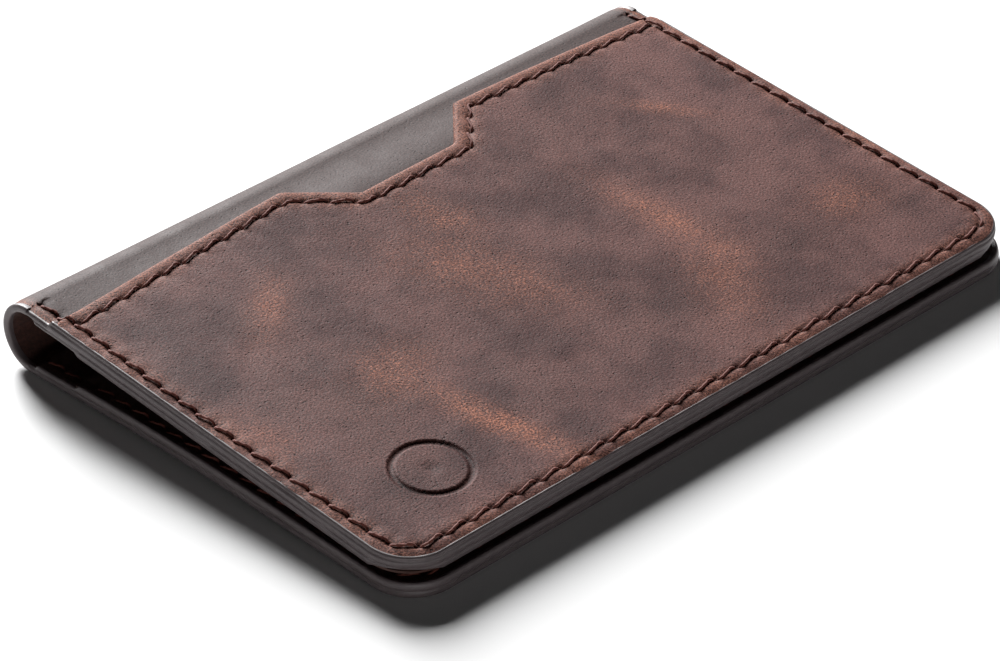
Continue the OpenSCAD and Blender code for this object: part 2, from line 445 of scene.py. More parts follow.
def cover_inside(x, s):
    """The flesh side, skived thinner towards the middle of each bend."""
    place = np.mod(s / (BEND_ARC * FOLD_R), 1) * ((s > 0) & (s < FOLD_LENGTH))
    skived = BEND_SAG * (FOLD_R - COVER_T) * 4 * place * (1 - place)
    return cover_point(x, s, COVER_T - skived)


# Meshes.


def from_front_end(points):
    """The same points, with their travel counted back from the front end of the fold."""
    return np.stack([points[:, 0], FOLD_LENGTH - points[:, 1]], 1)


def blend_over_bend(piece):
    """Bakes a piece's place into its mesh, so that it stays where it was built."""
    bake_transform(piece)


def make_piece(name, points, faces, materials, flat=None, masks=None, face_slots=None):
    """A mesh from points in millimetres. flat is each point's place on the unrolled hide."""
    mesh = bpy.data.meshes.new(name)
    mesh.from_pydata((np.asarray(points) * MM).tolist(), [], faces)
    for made in materials:
        mesh.materials.append(made)
    if face_slots is not None:
        mesh.polygons.foreach_set("material_index", face_slots)
    mesh.shade_smooth()
    mesh.set_sharp_from_angle(angle=math.radians(50))
    hide = mesh.attributes.new("hide", "FLOAT_VECTOR", "POINT")
    hide.data.foreach_set("vector", np.asarray(points if flat is None else flat,
                                               np.float32).ravel())
    for key, values in (masks or {}).items():
        layer = mesh.attributes.new(key, "FLOAT", "POINT")
        layer.data.foreach_set("value", np.asarray(values, np.float32))
    piece = bpy.data.objects.new(name, mesh)
    bpy.context.scene.collection.objects.link(piece)
    return piece


def tubes(name, groups, materials):
    """Closed tubes in one mesh; each is an array of rows, each row a ring of points."""
    points, faces, start = [], [], 0
    for rows in groups:
        count, ring = rows.shape[:2]
        for i in range(count - 1):
            for j in range(ring):
                a, b = start + i * ring + j, start + i * ring + (j + 1) % ring
                faces.append((a, b, b + ring, a + ring))
        last = start + (count - 1) * ring
        faces.append(tuple(range(start + ring - 1, start - 1, -1)))
        faces.append(tuple(range(last, last + ring)))
        points.append(rows.reshape(-1, 3))
        start += count * ring
    return make_piece(name, np.concatenate(points), faces, materials)


def triangulate(loop, extra):
    """Triangles that fill a loop through extra points, none closer than a tenth to another."""
    seen = {tuple(np.round(p, 1)) for p in loop}
    kept = []
    for p in extra:
        key = tuple(np.round(p, 1))
        if key not in seen:
            seen.add(key)
            kept.append(p)
    points = [Vector(p) for p in np.concatenate([loop, np.array(kept).reshape(-1, 2)])]
    ring = [(i, (i + 1) % len(loop)) for i in range(len(loop))]
    made = delaunay_2d_cdt(points, ring, [], 1, 1e-5)
    return np.array([tuple(p) for p in made[0]]), [tuple(f) for f in made[2]]


def panel(name, loop, extra, upper, lower, materials, masks=None, smooth_joins=False):
    """A closed sheet of leather or cloth: a loop on the flat hide, laid out by its two faces."""
    flat, triangles = triangulate(loop, extra)
    x, v = flat.T
    count = len(flat)
    top, bottom = upper(x, v), lower(x, v)
    if np.cross(*(top[list(triangles[0][1:])] - top[triangles[0][0]])) @ (top - bottom).mean(0) < 0:
        triangles = [t[::-1] for t in triangles]
    sides = {}
    for t in triangles:
        for a, b in zip(t, t[1:] + t[:1]):
            if sides.pop((b, a), None) is None:
                sides[(a, b)] = True
    walls = [(b, a, a + count, b + count) for a, b in sides]
    under = [tuple(i + count for i in t[::-1]) for t in triangles]
    faces = triangles + under + walls
    slots = [0] * len(triangles) + [len(materials) - 1] * (len(under) + len(walls))
    marks = {key: np.tile(make(x, v), 2) for key, make in (masks or {}).items()}
    flat3 = np.concatenate([np.stack([x, v, 0 * x], 1), np.stack([x, v, 0 * x - 1], 1)])
    piece = make_piece(name, np.concatenate([top, bottom]), faces, materials, flat3, marks, slots)
    if smooth_joins:
        normals = []
        for place, side in ((upper, 1), (lower, -1)):
            across = place(x + 0.05, v) - place(x - 0.05, v)
            down = place(x, v + 0.05) - place(x, v - 0.05)
            n = np.cross(across, down)
            n *= np.sign((n * (top - bottom)).sum(1, keepdims=True)) * side
            normals.append(n / np.linalg.norm(n, axis=1, keepdims=True))
        at = np.concatenate(normals)[[i for f in faces[:len(triangles) * 2] for i in f]]
        rest = np.zeros((4 * len(walls), 3))
        piece.data.normals_split_custom_set(np.concatenate([at, rest]).tolist())
    return piece


def seam_rows(reach, top, insets=(0.8, 1.2, 1.5, 1.75, 2.0, 2.25, 2.5, 2.8, 3.2, 3.8)):
    """Rows of points along the three sewn sides, close together at the seam."""
    return np.concatenate([outline(reach, inset, 0.375, top) for inset in insets])


def field(spacing, reach, top, clear=4.2):
    """An even triangular field of points, clear of the sewn sides."""
    made = []
    for i, v in enumerate(np.arange(-reach, -top, spacing * 0.866)):
        x = np.arange(-LENGTH / 2, LENGTH / 2, spacing) + (i % 2) * spacing / 2
        made.append(np.stack([x, 0 * x + v], 1))
    points = np.concatenate(made)
    return points[rim_distance(points[:, 0], points[:, 1], reach) > clear]


def closed_loop(side, top):
    """A loop of the three sides and a top edge given from left to right."""
    return np.concatenate([side, top[-2:0:-1]])


def straight_top(reach, top, step=0.75):
    """The straight mouth of a panel, from left to right."""
    end = LENGTH / 2 - PAINT_T
    x = np.linspace(-end, end, round(2 * end / step) + 1)
    return np.stack([x, 0 * x - top], 1)


# Materials.


def add_node(tree, kind, inputs=None, out=0, **settings):
    """Adds a node with its settings, sets or links its inputs, and gives back an output."""
    made = tree.nodes.new("ShaderNode" + kind)
    for key, value in settings.items():
        setattr(made, key, value)
    for key, value in (inputs or {}).items():
        if isinstance(value, bpy.types.NodeSocket):
            tree.links.new(value, made.inputs[key])
        else:
            made.inputs[key].default_value = value
    return made.outputs[out]


def start_material(name):
    """An empty material, with its node tree and its shader."""
    made = bpy.data.materials.new(name)
    made.use_nodes = True
    return made, made.node_tree, made.node_tree.nodes["Principled BSDF"]


def pull_up_hide(name, dark, mid, worn, rim, rough, gloss, grain):
    """Waxed pull-up cowhide, vegetable tanned, oiled and hand buffed. The eye gets a cloudy
    dark brown, tan where bending has moved the wax, open pores, fine pebble and a soft sheen."""
    made, tree, shader = start_material(name)
    dark, mid, worn, rim = ((*colours(key), 1) for key in (dark, mid, worn, rim))
    place = add_node(tree, "Attribute", out="Vector", attribute_name="hide")
    wear = add_node(tree, "Attribute", out="Fac", attribute_name="wear")
    rub = add_node(tree, "Attribute", out="Fac", attribute_name="rub")
    pressed = add_node(tree, "Attribute", out="Fac", attribute_name="pressed")
    # Clouds of oil are about 15 mm across, streaks 3 mm and broken wax 1.5 mm.
    cloud = add_node(tree, "TexNoise", {
        "Vector": place, "Scale": 1 / 15, "Detail": 4, "Roughness": 0.6})
    cloud = add_node(tree, "MapRange", {"Value": cloud, "From Min": 0.38, "From Max": 0.64},
                     interpolation_type="SMOOTHSTEP")
    streaks = add_node(tree, "TexNoise", {
        "Vector": place, "Scale": 1 / 3.2, "Detail": 5, "Roughness": 0.7, "Distortion": 0.6})
    streaks = add_node(tree, "MapRange", {"Value": streaks, "From Min": 0.3, "From Max": 0.75})
    broken = add_node(tree, "TexNoise", {
        "Vector": place, "Scale": 1 / 1.5, "Detail": 6, "Roughness": 0.75, "Distortion": 0.8})
    broken = add_node(tree, "MapRange", {
        "Value": broken, "From Min": 0.3, "From Max": 0.7, "To Min": 0.45, "To Max": 1.35})
    ground = add_node(tree, "Mix", {0: cloud, 6: dark, 7: mid}, 2, data_type="RGBA")
    share = add_node(tree, "Math", {0: streaks, 1: 0.3}, operation="MULTIPLY")
    ground = add_node(tree, "Mix", {0: share, 6: ground, 7: mid}, 2, data_type="RGBA")
    # Worn wax cracks into plates about 0.8 mm across.
    crackle = add_node(tree, "TexVoronoi", {"Vector": place, "Scale": 1 / 0.8},
                       feature="DISTANCE_TO_EDGE")
    crackle = add_node(tree, "MapRange", {
        "Value": crackle, "From Max": 0.22, "To Min": 0.45, "To Max": 1.1})
    worn_share = add_node(tree, "Math", {0: wear, 1: crackle}, operation="MULTIPLY")
    worn_share = add_node(tree, "Math", {0: worn_share, 1: broken}, operation="MULTIPLY")
    # The fleck of the grain, 0.26 mm across: rubbing brings out its high spots.
    fleck = add_node(tree, "TexNoise", {
        "Vector": place, "Scale": 1 / 0.26, "Detail": 3, "Roughness": 0.7})
    high = add_node(tree, "MapRange", {
        "Value": fleck, "From Min": 0.4, "From Max": 0.62, "To Min": 0.35, "To Max": 1.6})
    worn_share = add_node(tree, "Math", {0: worn_share, 1: high}, operation="MULTIPLY")
    ground = add_node(tree, "Mix", {0: worn_share, 6: ground, 7: worn}, 2, data_type="RGBA")
    share = add_node(tree, "Math", {0: rub, 1: high}, operation="MULTIPLY")
    ground = add_node(tree, "Mix", {0: share, 6: ground, 7: rim}, 2, data_type="RGBA")
    # Open pores about 0.85 mm apart.
    pores = add_node(tree, "TexVoronoi", {"Vector": place, "Scale": 1 / 0.85})
    pores = add_node(tree, "MapRange", {
        "Value": pores, "From Min": 0.06, "From Max": 0.19, "To Min": 0.3})
    tone = add_node(tree, "MapRange", {
        "Value": fleck, "From Min": 0.34, "From Max": 0.66, "To Min": 0.35, "To Max": 1.65})
    tone = add_node(tree, "Math", {0: tone, 1: pores}, operation="MULTIPLY")
    # This mask paints shade into the seam grooves, needle holes and stamp, and darkens the oily
    # patches.
    tone = add_node(tree, "Math", {0: pressed, 1: -0.45, 2: tone}, operation="MULTIPLY_ADD")
    ground = add_node(tree, "VectorMath", {0: ground, "Scale": tone}, operation="SCALE")
    tree.links.new(ground, shader.inputs["Base Color"])
    # Pebbles of the grain are 0.4 mm across, as on calf.
    pebble = add_node(tree, "TexVoronoi", {
        "Vector": place, "Scale": 1 / 0.4, "Smoothness": 0.4}, feature="SMOOTH_F1")
    height = add_node(tree, "Math", {0: pebble, 1: -0.35, 2: fleck}, operation="MULTIPLY_ADD")
    height = add_node(tree, "Math", {0: pores, 1: 1.0, 2: height}, operation="MULTIPLY_ADD")
    normal = add_node(tree, "Bump", {
        "Height": height, "Strength": grain, "Distance": 0.07 * MM})
    tree.links.new(normal, shader.inputs["Normal"])
    shine = add_node(tree, "MapRange", {
        "Value": streaks, "To Min": rough + 0.06, "To Max": rough - 0.04})
    tree.links.new(shine, shader.inputs["Roughness"])
    shader.inputs["Specular IOR Level"].default_value = gloss
    return made


def fine_material(name, colour, rough, gloss, size, depth, mottle, sheen):
    """One colour with a mottle and a relief of a given size and depth in millimetres."""
    made, tree, shader = start_material(name)
    place = add_node(tree, "Attribute", out="Vector", attribute_name="hide")
    grain = add_node(tree, "TexNoise", {
        "Vector": place, "Scale": 1 / size, "Detail": 4, "Roughness": 0.6})
    tone = add_node(tree, "MapRange", {
        "Value": grain, "From Min": 0.3, "From Max": 0.7, "To Min": 1 - mottle,
        "To Max": 1 + mottle})
    ground = add_node(tree, "VectorMath", {0: colours(colour), "Scale": tone},
                      operation="SCALE")
    tree.links.new(ground, shader.inputs["Base Color"])
    normal = add_node(tree, "Bump", {"Height": grain, "Strength": 0.6, "Distance": depth * MM})
    tree.links.new(normal, shader.inputs["Normal"])
    shader.inputs["Roughness"].default_value = rough
    shader.inputs["Specular IOR Level"].default_value = gloss
    shader.inputs["Sheen Weight"].default_value = sheen
    return made


def woven_cloth(name):
    """Plain-woven polyester lining, dyed dark. The eye gets a dull cloth with a fine square
    weave; real threads are 0.2 mm apart, drawn at 0.5 mm so that they show."""
    made, tree, shader = start_material(name)
    place = add_node(tree, "Attribute", out="Vector", attribute_name="hide")
    warp = add_node(tree, "TexWave", {"Vector": place, "Scale": 1 / (0.5 * 2 * math.pi / 20)},
                    out="Fac", bands_direction="X")
    weft = add_node(tree, "TexWave", {"Vector": place, "Scale": 1 / (0.5 * 2 * math.pi / 20)},
                    out="Fac", bands_direction="Y")
    weave = add_node(tree, "Math", {0: warp, 1: weft}, operation="MULTIPLY")
    tone = add_node(tree, "MapRange", {"Value": weave, "To Min": 0.7, "To Max": 1.25})
    ground = add_node(tree, "VectorMath", {0: colours("cloth"), "Scale": tone},
                      operation="SCALE")
    tree.links.new(ground, shader.inputs["Base Color"])
    normal = add_node(tree, "Bump", {"Height": weave, "Strength": 0.7, "Distance": 0.06 * MM})
    tree.links.new(normal, shader.inputs["Normal"])
    shader.inputs["Roughness"].default_value = 0.8
    return made


def material(name):
    """A material by name, made the first time that a piece asks for it."""
    made = bpy.data.materials.get(name)
    if made is None:
        made = MATERIALS[name](name)
    return made


MATERIALS = {
    # The quick pocket: cloudy brown, worn tan in places, with open pores and a soft sheen.
    "waxed_pull_up_hide": lambda name: pull_up_hide(
        name, "dark", "mid", "worn", "rim", 0.62, 0.1, 1.0),
    # The cover: the same hide ironed smooth, nearly black, even and slightly waxy.
    "glazed_cover_hide": lambda name: pull_up_hide(
        name, "smooth", "smooth", "mid", "rim", 0.58, 0.11, 0.45),
    # Thin glazed sheepskin: dark, even and slightly shiny.
    "glazed_sheepskin": lambda name: fine_material(
        name, "inner", 0.45, 0.3, 0.45, 0.09, 0.35, 0.1),
    # The sueded inside of the cowhide: dull and fibrous.
    "sueded_cowhide": lambda name: fine_material(
        name, "flesh", 0.85, 0.3, 0.4, 0.12, 0.5, 0.1),
    # Waxed polyester thread, twisted: slightly fuzzy with a low sheen.
    "waxed_polyester_thread": lambda name: fine_material(
        name, "thread", 0.7, 0.2, 0.25, 0.03, 0.35, 0.1),
    # Acrylic edge paint, rolled on and burnished: smooth, uneven and half shiny.
    # Its colour is lighter than the paint: painted light for the highlights along the bead.
    "acrylic_edge_paint": lambda name: fine_material(
        name, "paint", 0.45, 0.4, 0.9, 0.02, 0.15, 0.0),
    "woven_polyester": woven_cloth,
}


# The pieces.


def worn_places(x, v):
    """Where bending and hands have moved the wax: soft patches across the quick pocket."""
    wear = np.zeros(x.shape)
    for at, long, short, turn, share in (
            ((-24.5, -53), 12, 1.9, -76, 1.0), ((-28, -38), 6, 4, 20, 0.45),
            ((-31, -20), 6, 2.2, 40, 0.55), ((-3, -19), 6, 3, 100, 0.45),
            ((-7, -31), 11, 5, 115, 0.45), ((18, -36), 9, 2.4, 95, 0.6),
            ((15, -50), 9, 4, 60, 0.45), ((35, -20), 5.5, 1.3, -48, 0.5),
            ((39, -48), 6, 4, 0, 0.35), ((-47, -38), 6, 3, 90, 0.35)):
        c, s = math.cos(math.radians(turn)), math.sin(math.radians(turn))
        a, b = (x - at[0]) * c + (v - at[1]) * s, (v - at[1]) * c - (x - at[0]) * s
        wear += share * np.exp(-(a / long) ** 2 - (b / short) ** 2)
    return np.clip(wear * (1 + 0.6 * swells(x, v, 5, 7)), 0, 1)


def pocket_rub(x, v):
    """Rubbed lighter outside the seams, along the mouth and in patches beside the stitches."""
    inside = rim_distance(x, v, FRONT_REACH)
    lip = nearest_on(mouth_path(0, LENGTH / 2 + 2), x, v)[0]
    patchy = 0.45 + 0.5 * swells(x, v, 6, 9)
    beside = patchy * (1 - ease(1.5, 4.5, np.minimum(inside, lip)))
    rims = np.maximum(0.24 * (1 - ease(1.2, 2.2, inside)), 0.8 * (1 - ease(0.5, 2.2, lip)))
    return np.clip(np.maximum(rims, beside), 0, 1)


def oily_places(x, v):
    """Soft dark places of the quick pocket, where the oil is thickest."""
    oily = np.zeros(x.shape)
    for at_x, at_v, wide, deep, share in (
            (4, -50, 8, 6, 0.3), (-18, -51, 3.5, 7, 0.35), (27, -50, 4, 5, 0.3),
            (22, -13, 7, 6, 0.25), (-45, -20, 3.5, 14, 0.45), (-41, -54, 9, 7, 0.4),
            (-30, -48, 9, 8, 0.25), (-39, -37, 8, 10, 0.35), (44, -54, 5, 6, 0.3),
            (-10, -12, 12, 4, 0.15)):
        oily += share * np.exp(-((x - at_x) / wide) ** 2 - ((v - at_v) / deep) ** 2)
    return oily * (1 + 0.7 * swells(x, v, 4, 8))


def pocket_painted_shade_and_oil(x, v):
    """Painted shade in the needle holes, seam grooves and stamp, over the oily places."""
    grooves = np.clip(-pocket_sewing(x, v) * 2.6 - 0.1, 0, 1)
    return grooves + 0.6 * stamp(x, v) + oily_places(x, v)


class WALLET_OT_cover(bpy.types.Operator):
    """Builds the one-piece cover, cut where the fold's bends meet"""
    bl_idname = "wallet.cover"
    bl_label = "Cover"

    def execute(self, context):
        end = LENGTH / 2 - PAINT_T
        across = np.linspace(-end, end, round(2 * end / 0.75) + 1)
        for k in range(len(JOINTS)):
            low, high = BEND_ARC * k * FOLD_R, BEND_ARC * (k + 1) * FOLD_R
            levels = np.linspace(low, high, 7)
            inner = [np.stack([across, 0 * across + s], 1)[1:-1] for s in levels[1:-1]]
            right = np.stack([0 * levels + end, levels], 1)
            left = right[::-1] * [-1, 1]
            bottom = np.stack([across, 0 * across + low], 1)
            top = np.stack([across, 0 * across + high], 1)
            if k == 0:
                rim = outline(BACK_REACH, PAINT_T, 0.375)
                loop = np.concatenate([rim, right[1:], top[-2:0:-1], left[:-1]])
                inner += [bottom[1:-1], seam_rows(BACK_REACH, 0.2), field(1.5, BACK_REACH, 0.4)]
            elif k == len(JOINTS) - 1:
                rim = from_front_end(outline(FRONT_REACH, PAINT_T, 0.375)[::-1])
                loop = np.concatenate([bottom[:-1], right[:-1], rim, left[1:-1]])
                inner += [top[1:-1], from_front_end(seam_rows(FRONT_REACH, 0.2)),
                          from_front_end(field(1.2, FRONT_REACH, 0.4))]
            else:
                loop = np.concatenate([bottom, right[1:], top[-2::-1], left[1:-1]])
            piece = panel(f"cover_bend_{k + 1}", loop, np.concatenate(inner),
                          cover_outside, cover_inside,
                          [material("glazed_cover_hide"), material("sueded_cowhide")],
                          {"rub": cover_rub}, smooth_joins=True)
            blend_over_bend(piece)
            stands_for = [n for n in (f"cover_fold_{k}", f"cover_fold_{k + 1}")
                          if n in frame["nodes"]]
            stands_for += ["cover_back"] * (k == 0) + ["cover_front"] * (k == len(JOINTS) - 1)
            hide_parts(*stands_for)
        return {"FINISHED"}


def cover_rub(x, s):
    """The cover is rubbed a little along its cut sides."""
    return 0.7 * (1 - ease(0.8, 2.3, LENGTH / 2 - np.abs(x)))


class WALLET_OT_quick_pocket(bpy.types.Operator):
    """Builds the quick pocket's leather with its notched mouth, seams and stamp"""
    bl_idname = "wallet.quick_pocket"
    bl_label = "Quick pocket"

    def execute(self, context):
        end, side = LENGTH / 2 - PAINT_T, sizes("mouth_side")
        loop = closed_loop(outline(FRONT_REACH, PAINT_T, 0.375, side),
                           walk(mouth_path(0, end), 0.375))
        rows = [walk(mouth_path(inset, end - 0.4), 0.375)
                for inset in (0.25, 0.5, 0.9, 1.3, 1.55, 1.8, 2.0, 2.2, 2.45, 2.7, 3.1, 3.6)]
        turns = np.linspace(0, 2 * np.pi, 97)[:-1]
        for radius in sizes("stamp") + np.array([-0.7, -0.5, -0.35, -0.2, 0, 0.2, 0.35, 0.5, 0.7]):
            rows.append(np.stack([radius * np.cos(turns) + STAMP_X,
                                  radius * np.sin(turns) + STAMP_V], 1))
        rows += [seam_rows(FRONT_REACH, side + 0.3)]
        grid = field(0.85, FRONT_REACH, side + 0.3)
        clear = nearest_on(mouth_path(0, end + 2), *grid.T)[0] > 4
        rows.append(grid[clear & under_mouth(*grid.T)])
        extra = np.concatenate(rows)
        extra = extra[(np.abs(extra[:, 0]) < end - 0.2) & under_mouth(*extra.T)]
        level = FOLD_R + sizes("lining") + 0.002
        piece = panel("quick_pocket_leather", loop, extra, pocket_top,
                      lambda x, v: front_point(x, v, level + pocket_lift(x, v)),
                      [material("waxed_pull_up_hide"), material("waxed_pull_up_hide")],
                      # The last mask paints shade into the seam grooves, needle holes and stamp,
                      # over the oily patches.
                      {"wear": worn_places, "rub": pocket_rub, "pressed": pocket_painted_shade_and_oil})
        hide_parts("quick_pocket")
        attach(piece, BODIES[-1])
        return {"FINISHED"}


def under_mouth(x, v):
    """Whether a point is on the pocket's side of its mouth."""
    path = mouth_path(0, LENGTH / 2 + 2)
    return v < np.interp(x, path[:, 0], path[:, 1]) - 0.1


class WALLET_OT_lining(bpy.types.Operator):
    """Builds the cloth lining that lies between the quick pocket and the cover"""
    bl_idname = "wallet.lining"
    bl_label = "Pocket lining"

    def execute(self, context):
        end, step_back = LENGTH / 2 - PAINT_T, 1.0
        side = sizes("mouth_side") + step_back
        loop = closed_loop(outline(FRONT_REACH, PAINT_T, 1.0, side),
                           walk(mouth_path(step_back, end), 1.0))
        grid = field(2.0, FRONT_REACH, side + 0.5, 1.5)
        grid = grid[under_mouth(grid[:, 0], grid[:, 1] + 2.5)]
        thick = sizes("lining")
        piece = panel("pocket_lining_cloth", loop, grid,
                      lambda x, v: front_point(x, v, FOLD_R + thick + cover_lift(x, v)),
                      lambda x, v: front_point(x, v, FOLD_R + 0.001 + cover_lift(x, v)),
                      [material("woven_polyester")])
        width, length = 2 * end, FRONT_REACH - PAINT_T - sizes("mouth_side") - step_back + 0.5
        corner = sizes("corner") - PAINT_T
        notch = ((sizes("notch_wide") + sizes("notch_narrow")) / 2
                 * (sizes("notch_floor") - sizes("mouth_top")))
        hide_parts("quick_pocket_lining")
        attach(piece, BODIES[-1])
        return {"FINISHED"}


def inner_panel(node, name, reach, top, place, faces):
    """One thin leather panel inside a half, sewn in on three sides."""
    low, high = faces
    rows = [seam_rows(reach, top + 0.3, (0.9, 1.5, 1.8, 2.0, 2.2, 2.5, 3.1)),
            field(2.2, reach, top + 0.8)]
    piece = panel(name, closed_loop(outline(reach, PAINT_T, 0.75, top),
                                    straight_top(reach, top)), np.concatenate(rows),
                  lambda x, v: place(x, v, low), lambda x, v: place(x, v, high),
                  [material("glazed_sheepskin")])
    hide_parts(node)
    return piece


def inner_relief(x, v, reach):
    """The inner panels are drawn in along the seam and rounded at their mouths."""
    sewn = pucker(seam_offset(x, v, reach), seam_count(x, v, reach))
    return np.minimum(sewn, 0) + 0.6 * rim_roll(rim_distance(x, v, reach))


class WALLET_OT_inner_panels(bpy.types.Operator):
    """Builds the liner and the card slot inside each half"""
    bl_idname = "wallet.inner_panels"
    bl_label = "Inner panels"

    def execute(self, context):
        inside = FOLD_R - COVER_T
        stack = (("liner", LINER_MOUTH, 0), ("card_slot", SLOT_MOUTH, 1))
        for name, top, order in stack:
            level = order * PANEL_T

            def on_back(x, v, face, level=level):
                relief = inner_relief(x, v, BACK_REACH) if face else 0
                return back_point(x, v, COVER_T + level + (PANEL_T if face else 0.002) + relief)

            def on_front(x, v, face, level=level):
                relief = inner_relief(x, v, FRONT_REACH) if face else 0
                depth = level + (PANEL_T if face else 0.002) + relief
                return front_point(x, v, inside - depth)

            back = inner_panel(f"back_{name}", f"back_{name}_leather", BACK_REACH, top,
                               on_back, (1, 0))
            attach(back, BODIES[0])
            front = inner_panel(f"front_{name}", f"front_{name}_leather", FRONT_REACH, top,
                                on_front, (0, 1))
            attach(front, BODIES[-1])
        return {"FINISHED"}


def bead_profile(place, top, bottom, travel, layers):
    """A ring round a cut edge: a rounded bead, grooved where two layers meet, and a flat back.
    place gives a point for how far out it stands and its height."""
    ring = []
    wave = 0.035 * swells(travel, 0 * travel, 3, 11) + 0.012 * swells(travel, 0 * travel, 1.1, 5)
    for turn in np.linspace(np.pi / 2, -np.pi / 2, 33):
        height = (top + bottom) / 2 + (top - bottom) / 2 * math.sin(turn)
        out = -0.42 + 0.45 * max(math.cos(turn), 0) ** 0.7 + wave * math.cos(turn)
        for number, layer in enumerate(layers):
            depth = 0.17 + 0.08 * swells(travel, 0 * travel, 7, number + 20)
            near = np.exp(-((height - layer) / 0.16) ** 2)
            out = out - depth * near * math.cos(turn)
        ring.append(place(out, height))
    for share in (0.1, 0.5, 0.9):
        ring.append(place(-0.9 + 0 * travel, bottom + (top - bottom) * share))
    return np.stack(ring, 1)


def outward_of(path):
    """The outward direction at each point of an outline that runs left to right."""
    d = np.gradient(path, axis=0)
    n = np.stack([d[:, 1], -d[:, 0]], 1)
    return n / np.linalg.norm(n, axis=1, keepdims=True)


class WALLET_OT_edge_paint(bpy.types.Operator):
    """Builds the painted bead round both halves and on the two ends of the fold"""
    bl_idname = "wallet.edge_paint"
    bl_label = "Edge paint"

    def execute(self, context):
        paint = [material("acrylic_edge_paint")]
        for node, name, reach, body in (
                ("front_edge_paint", "front_edge_bead", FRONT_REACH, BODIES[-1]),
                ("back_edge_paint", "back_edge_bead", BACK_REACH, BODIES[0])):
            path = outline(reach, 0, 0.3)
            outward, travel, v = outward_of(path), travels(path), path[:, 1]
            panels = PANEL_T * (ease(LINER_MOUTH, LINER_MOUTH + 0.6, -v)
                                + ease(SLOT_MOUTH, SLOT_MOUTH + 0.8, -v))
            if body == BODIES[-1]:
                over, on_edge = ease(0, 0.7, -v - sizes("mouth_side") + 0.2), front_point
                top = FOLD_R - 0.26 + over * (sizes("lining") + sizes("pocket"))
                bottom = FOLD_R - COVER_T - panels - 0.1 + corner_trim(path, reach)
                layers = (FOLD_R + 0.05, FOLD_R - COVER_T)
            else:
                on_edge, top, bottom = back_point, COVER_T + panels + 0.08, 0.06 + 0 * v
                layers = (COVER_T,)

            def stand(out, height, on_edge=on_edge, path=path, outward=outward):
                at = path + outward * np.reshape(out, (-1, 1))
                return on_edge(at[:, 0], at[:, 1], height)

            piece = tubes(name, [bead_profile(stand, top, bottom, travel, layers)], paint)
            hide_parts(node)
            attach(piece, body)
        for k in range(len(JOINTS)):
            angles = np.linspace(BEND_ARC * k, BEND_ARC * (k + 1), 9)
            groups = []
            for side in (-1, 1):
                def stand(out, radius, side=side):
                    return np.stack([side * (LENGTH / 2 + out), FOLD_Y + radius * np.sin(angles),
                                     FOLD_R - radius * np.cos(angles)], -1)

                low, high = FOLD_R - COVER_T - 0.1, FOLD_R - 0.06
                rows = bead_profile(stand, high + 0 * angles, low + 0 * angles,
                                    angles * FOLD_R + 40 * side, ())
                groups.append(rows if side > 0 else rows[:, ::-1])
            piece = tubes(f"fold_edge_bead_{k + 1}", groups, paint)
            blend_over_bend(piece)
        return {"FINISHED"}


def corner_trim(path, reach):
    """The inner panels of the front half are cut back under its corners."""
    r = sizes("corner")
    x, v = np.abs(path[:, 0]) - (LENGTH / 2 - r), -path[:, 1] - (reach - r)
    turn = np.arctan2(np.maximum(v, 0), np.maximum(x, 1e-6)) / (np.pi / 2)
    inside = (x > 0) & (v > 0)
    return np.where(inside, 0.9 * np.sin(np.pi * turn) ** 0.7, 0)


def stitch_rows(path, ends, surface, side):
    """Stitches between pairs of places on a line: two-ply thread that slants and dives."""
    made = []
    radius = sizes("thread") / 2
    t = np.linspace(-1, 1, 13)
    for number, (start, stop) in enumerate(ends):
        length = (stop - start) * 0.96
        at = along(path, (start + stop) / 2 + t * length / 2)
        run = np.gradient(at, axis=0)
        run /= np.linalg.norm(run, axis=1, keepdims=True)
        cross = np.stack([-run[:, 1], run[:, 0]], 1)
        slant = 0.24 * np.sin(0.75 * np.pi * t) + 0.05 * math.sin(number * 2.4)
        at = at + cross * slant[:, None]
        height = 0.07 + 0.04 * math.sin(number * 1.7) - 0.5 * np.abs(t) ** 6
        ring = []
        for j in range(8):
            turn = 2 * np.pi * j / 8
            ply = 1 + 0.16 * np.cos(2 * turn + 9 * t)
            fat = radius * ply * (1 - 0.3 * np.abs(t) ** 6)
            across = at + cross * (fat * np.cos(turn))[:, None]
            ring.append(surface(across[:, 0], across[:, 1],
                                side * (height + fat * np.sin(turn))))
        rows = np.stack(ring, 1)
        made.append(rows if side < 0 else rows[:, ::-1])
    return made


def half_seam(reach, low, high, surface, side):
    """The stitches of a half that lie between two distances from the fold."""
    path = outline(reach, sizes("seam"), 0.1, -1.2)
    path[:, 0] -= seam_wander(*path.T, reach) * ease(0, 8, path[:, 1] + reach)
    total = travels(path)[-1]
    travel = np.linspace(0, total / 2, 2000)
    most = stitch_count(total / 2)
    holes = np.interp(np.append(np.arange(int(most) + 1), most - 0.05),
                      stitch_count(travel), travel)
    ends = [(total / 2 + sign * a, total / 2 + sign * b)
            for sign in (-1, 1) for a, b in zip(holes, holes[1:])]
    ends = [tuple(sorted(pair)) for pair in ends]
    middle = -along(path, np.mean(ends, axis=1))[:, 1]
    reachable = (middle > low + sizes("pitch") * 0.4) & (middle < high)
    return stitch_rows(path, [pair for pair, ok in zip(ends, reachable) if ok], surface, side)


